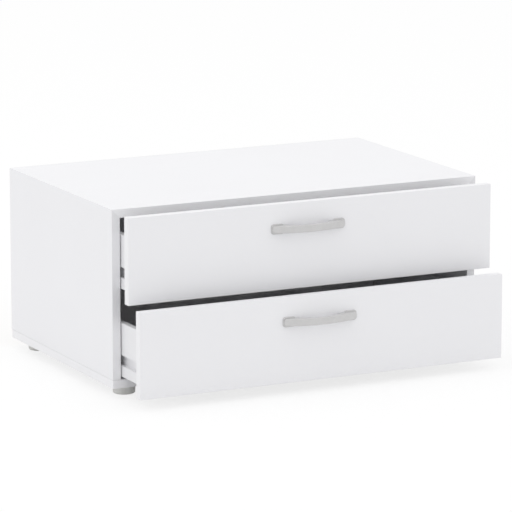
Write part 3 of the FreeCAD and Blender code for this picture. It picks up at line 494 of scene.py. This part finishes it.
def countersunk(head, shank, long):
    """Chipboard screw with a cross recess. head and shank are radii."""
    rim_high = 0.05 * MM
    cone_high = head - shank
    cone_foot = shank * 0.92
    thread_start = (shank * 0.8, cone_high * 1.6)
    profile = [(head, 0), (head, rim_high), (cone_foot, cone_high), thread_start]
    recess = cross(reach=head * 0.55, half_wide=head * 0.13)
    return screw(profile, recess, depth=head * 0.5, narrow=0.45, long=long,
                 core=shank * 0.68, outer=shank * FIT, pitch=shank * 0.95, point=shank * 3)


def pan_head(head, high, shank, long, pitch, core_share, point, plain):
    """Screw with a domed head and a cross recess. plain is the shank without thread."""
    profile = [(head * wide, high * tall) for wide, tall in DOME]
    profile += [(shank * FIT, high), (shank * FIT, high + plain)]
    recess = cross(reach=head * 0.48, half_wide=head * 0.11)
    return screw(profile, recess, depth=high * 0.6, narrow=0.5, long=long,
                 core=shank * core_share, outer=shank * FIT, pitch=pitch, point=point)


def joint_screw(long):
    """Chipboard connector with a hexagon socket, a plain neck and a coarse thread."""
    return screw(in_metres(JOINT_SCREW_PROFILE), hexagon(reach=2.3 * MM), depth=3.2 * MM, narrow=0.95,
                 long=long, core=1.75 * MM, outer=2.45 * MM, pitch=3.0 * MM, point=5 * MM)


def cam_bolt(long):
    """Bolt of a cam lock: a ball end with a neck, a plain shank and a thread for wood."""
    recess = cross(reach=1.3 * MM, half_wide=0.35 * MM)
    return screw(in_metres(CAM_BOLT_PROFILE), recess, depth=1.2 * MM, narrow=0.5,
                 long=long, core=1.6 * MM, outer=2.45 * MM, pitch=2.2 * MM, point=3 * MM)


def foot_screw(long):
    """Screw through a foot into the bottom board."""
    return pan_head(head=4.5 * MM, high=2.6 * MM, shank=2.0 * MM, long=long, pitch=1.9 * MM,
                    core_share=0.68, point=5 * MM, plain=1.5 * MM)


def handle_screw(long):
    """Machine screw through a front into its handle, without a point."""
    return pan_head(head=4.25 * MM, high=2.4 * MM, shank=2.0 * MM, long=long, pitch=0.7 * MM,
                    core_share=0.82, point=0, plain=9 * MM)


def runner_screw(long):
    """Screw through a runner strip into a side."""
    return countersunk(head=3.3 * MM, shank=1.75 * MM, long=long)


def box_screw(long):
    """Screw through a drawer side into the drawer back."""
    return countersunk(head=3.8 * MM, shank=2.0 * MM, long=long)


def dowel(long):
    """Fluted dowel with bevelled ends."""
    flutes = 18
    points_a_flute = 4
    flute_depth = 0.05
    radius = 3.98 * MM
    bevel = 1.0 * MM

    def fluted(angle):
        return radius * (1 - flute_depth * math.sqrt(max(0.0, math.cos(flutes * angle))))

    mesh = bmesh.new()
    points = flutes * points_a_flute
    rings = [ring(mesh, radius - bevel, 0, points), ring(mesh, fluted, bevel, points),
             ring(mesh, fluted, long - bevel, points), ring(mesh, radius - bevel, long, points)]
    skin(mesh, rings)
    for end in (rings[0], rings[-1]):
        mesh.faces.new(end)
    return mesh


def solids(node):
    """Lowest and highest corners of each separate solid of a node."""
    mesh = bmesh.new()
    mesh.from_mesh(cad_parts[node].data)
    bmesh.ops.remove_doubles(mesh, verts=mesh.verts, dist=WELD)
    found = []
    reached = set()
    for first in mesh.verts:
        if first in reached:
            continue
        group = [first]
        reached.add(first)
        for point in group:
            for edge in point.link_edges:
                other = edge.other_vert(point)
                if other not in reached:
                    reached.add(other)
                    group.append(other)
        found.append([Vector(pick(point.co[axis] for point in group) for axis in (X, Y, Z))
                      for pick in (min, max)])
    mesh.free()
    return found


def replace_each(node, body, shape, aim, material):
    """Puts the shape in the place of each solid of a node, pointing as aim(middle) says."""
    whole = bmesh.new()
    for low, high in solids(node):
        middle = (low + high) / 2
        way = Vector(aim(middle))
        long = abs((high - low).dot(way))
        turn = Vector((0, 0, 1)).rotation_difference(way).to_matrix().to_4x4()
        piece = shape(long)
        bmesh.ops.recalc_face_normals(piece, faces=piece.faces)
        piece.transform(Matrix.Translation(middle - way * long / 2) @ turn)
        part = bpy.data.meshes.new("part")
        piece.to_mesh(part)
        piece.free()
        whole.from_mesh(part)
        bpy.data.meshes.remove(part)
    mesh = bpy.data.meshes.new(node + "_detail")
    whole.to_mesh(mesh)
    whole.free()
    mesh.shade_smooth()
    mesh.set_sharp_from_angle(angle=CREASE)
    mesh.materials.append(material)
    piece = bpy.data.objects.new(node + "_detail", mesh)
    bpy.context.scene.collection.objects.link(piece)
    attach(piece, body)
    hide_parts(node)


def inwards(middle):
    """Towards the middle of the width."""
    return (-math.copysign(1, middle.x), 0, 0)


def outwards(middle):
    """Away from the middle of the width."""
    return (math.copysign(1, middle.x), 0, 0)


def up(middle):
    """Upwards, wherever the middle is."""
    return (0, 0, 1)


def forwards(middle):
    """Towards the fronts, wherever the middle is."""
    return (0, -1, 0)


def make_fasteners(zinc, wood):
    """The screws, bolts and dowels with their threads, sockets and flutes."""
    replace_each("joint_screws", "carcass", joint_screw, up, zinc)
    replace_each("foot_screws", "carcass", foot_screw, up, zinc)
    replace_each("runner_screws", "carcass", runner_screw, outwards, zinc)
    replace_each("joint_dowels", "carcass", dowel, up, wood)
    for level in ("upper", "lower"):
        body = level + "_drawer"
        replace_each(level + "_box_screws", body, box_screw, inwards, zinc)
        replace_each(level + "_cam_bolts", body, cam_bolt, forwards, zinc)
        replace_each(level + "_handle_screws", body, handle_screw, forwards, zinc)


def dress_all():
    """The finish of every CAD node, and the detailed fasteners."""
    # The sides' front edge bands carry painted shade, darker than the other bands
    boards = (("top_panel", (Y,), True, mitre_line, WHITE_BAND),
              ("side_panel_left", (Y,), True, side_joint, SIDE_BAND_PAINTED_SHADE),
              ("side_panel_right", (Y,), True, side_joint, SIDE_BAND_PAINTED_SHADE),
              ("bottom_panel", (X, Y), True, bottom_joint, WHITE_BAND),
              ("upper_front", (X, Z), False, None, WHITE_BAND),
              ("lower_front", (X, Z), False, None, WHITE_BAND))
    for node, across, raw, joint, band_colour in boards:
        dress(node, melamine("melamine_" + node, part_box(node), across, raw, joint, band_colour))
    box_board = wrapped_board("wrapped_board")
    strip = moulded("strip_plastic", STRIP_PLASTIC, roughness=0.45)
    foot = moulded("foot_plastic", FOOT_PLASTIC, roughness=0.5)
    nickel = metal("satin_nickel", NICKEL, roughness=0.42, grain_size=0.25 * MM,
                   grain_depth=0.004 * MM, stretch=(10, 1, 1), **MATT_LACQUER)
    zinc = metal("zinc_plate", ZINC, roughness=0.32, grain_size=0.4 * MM, grain_depth=0.01 * MM)
    cast = metal("cast_zinc", CAST_ZINC, roughness=0.42, grain_size=0.5 * MM, grain_depth=0.02 * MM)
    dress("back_panel", hardboard("hardboard_back", -1, Y, HARDBOARD_BROWN, HARDBOARD_LIGHT))
    for level in ("upper", "lower"):
        dress(f"{level}_handle", nickel)
        dress(f"{level}_base", hardboard(f"hardboard_{level}_base", 1, Z, PRIMER, PRIMER_LIGHT))
        dress(f"{level}_cam_locks", cast)
        dress(f"{level}_base_nails", zinc)
        for part in ("side_left", "side_right", "back"):
            dress(f"{level}_{part}", box_board)
        for part in ("runner_left", "runner_right"):
            dress(f"{level}_{part}", strip)
    for end in ("front", "rear"):
        for side in ("left", "right"):
            dress(f"{end}_foot_{side}", foot)
    dress("back_nails", zinc)
    make_fasteners(zinc, beech("beech"))


# Studio
LIGHT_WHITE = (1, 1, 1, 1)
WORLD_LEVEL = 0.905
SEEN_WHITE = 1.0            # level of the world where it is seen
FLOOR_SIDE = 60.0
FLOOR_COLOUR = (0.94, 0.94, 0.94)
FLOOR_CLOUDY = 0.99         # how dark the floor's faint clouds are
FLOOR_CLOUD_SIZE = 0.4
FLOOR_GLOW = 1.03           # how bright the floor looks by itself
FLOOR_SHARE = 0.75          # how much of that look replaces the lit floor
SOFTBOX_SIDE = 4.0
SOFTBOX_AT = (-1.2, 0.2, 4.4)
SOFTBOX_WATTS = 27.0

# Camera: the photograph's point of view, told from the carcass's front left upper corner
CAMERA_FROM_CORNER = (-2.7016, -5.98395, 1.277)
CAMERA_YAW = 26.5636
CAMERA_PITCH = 11.7243
CAMERA_LENS = 261.39
CAMERA_SENSOR = 36.0
CAMERA_SIGHT = 200.0        # how far the camera sees
LEVEL = 90                  # tilt of a camera that looks level, in degrees


def seen(add):
    """1 for a ray that looks at the scene, straight or by a gloss or glass, or else 0."""
    path = add("ShaderNodeLightPath").outputs
    straight = add("ShaderNodeMath", {0: path["Is Camera Ray"], 1: path["Is Glossy Ray"]},
                   operation="MAXIMUM").outputs[0]
    return add("ShaderNodeMath", {0: straight, 1: path["Is Transmission Ray"]},
               operation="MAXIMUM").outputs[0]


def make_world():
    """White light from all round, and plain white where the world itself is seen."""
    world = bpy.data.worlds.new("studio")
    bpy.context.scene.world = world
    world.use_nodes = True
    tree = world.node_tree
    tree.nodes.clear()

    def add(kind, inputs=None, **settings):
        return add_node(tree, kind, inputs, **settings)

    light = add("ShaderNodeBackground", {"Color": LIGHT_WHITE, "Strength": WORLD_LEVEL})
    white = add("ShaderNodeBackground", {"Color": LIGHT_WHITE, "Strength": SEEN_WHITE})
    both = add("ShaderNodeMixShader", {0: seen(add), 1: light.outputs[0], 2: white.outputs[0]})
    add("ShaderNodeOutputWorld", {"Surface": both.outputs[0]})


def make_floor():
    """A pale floor that looks white and keeps a soft shadow of the object."""
    half = FLOOR_SIDE / 2
    mesh = bpy.data.meshes.new("floor")
    mesh.from_pydata([(-half, -half, 0), (half, -half, 0), (half, half, 0), (-half, half, 0)],
                     [], [(0, 1, 2, 3)])
    floor = bpy.data.objects.new("floor", mesh)
    bpy.context.scene.collection.objects.link(floor)
    finish = Finish("floor")
    cloudy = shade(FLOOR_COLOUR, FLOOR_CLOUDY)
    tone = finish.mix(finish.noise(FLOOR_CLOUD_SIZE), FLOOR_COLOUR, cloudy)
    matt = finish.add("ShaderNodeBsdfDiffuse", {"Color": tone}).outputs[0]
    glow = finish.add("ShaderNodeEmission", {"Strength": FLOOR_GLOW}).outputs[0]
    share = finish.sum("MULTIPLY", seen(finish.add), FLOOR_SHARE)
    both = finish.add("ShaderNodeMixShader", {0: share, 1: matt, 2: glow})
    finish.add("ShaderNodeOutputMaterial", {"Surface": both.outputs[0]})
    mesh.materials.append(finish.material)


def make_softbox():
    """One wide lamp overhead, a little to the left."""
    lamp = bpy.data.lights.new("softbox", "AREA")
    lamp.shape = "SQUARE"
    lamp.size = SOFTBOX_SIDE
    lamp.energy = SOFTBOX_WATTS
    box = bpy.data.objects.new("softbox", lamp)
    box.location = SOFTBOX_AT
    box.rotation_euler = (-Vector(SOFTBOX_AT)).to_track_quat("-Z", "Y").to_euler()
    bpy.context.scene.collection.objects.link(box)


def make_camera():
    """The photograph's view, with verticals upright."""
    data = bpy.data.cameras.new("camera")
    data.lens = CAMERA_LENS
    data.sensor_width = CAMERA_SENSOR
    data.clip_end = CAMERA_SIGHT
    camera = bpy.data.objects.new("camera", data)
    low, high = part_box("top_panel")
    camera.location = Vector((low[X], low[Y], high[Z])) + Vector(CAMERA_FROM_CORNER)
    tilt = math.radians(LEVEL - CAMERA_PITCH)
    camera.rotation_euler = Euler((tilt, 0, math.radians(-CAMERA_YAW)))
    bpy.context.scene.collection.objects.link(camera)
    bpy.context.scene.camera = camera


dress_all()
make_world()
make_floor()
make_softbox()
make_camera()
bpy.context.scene.view_settings.view_transform = "Standard"
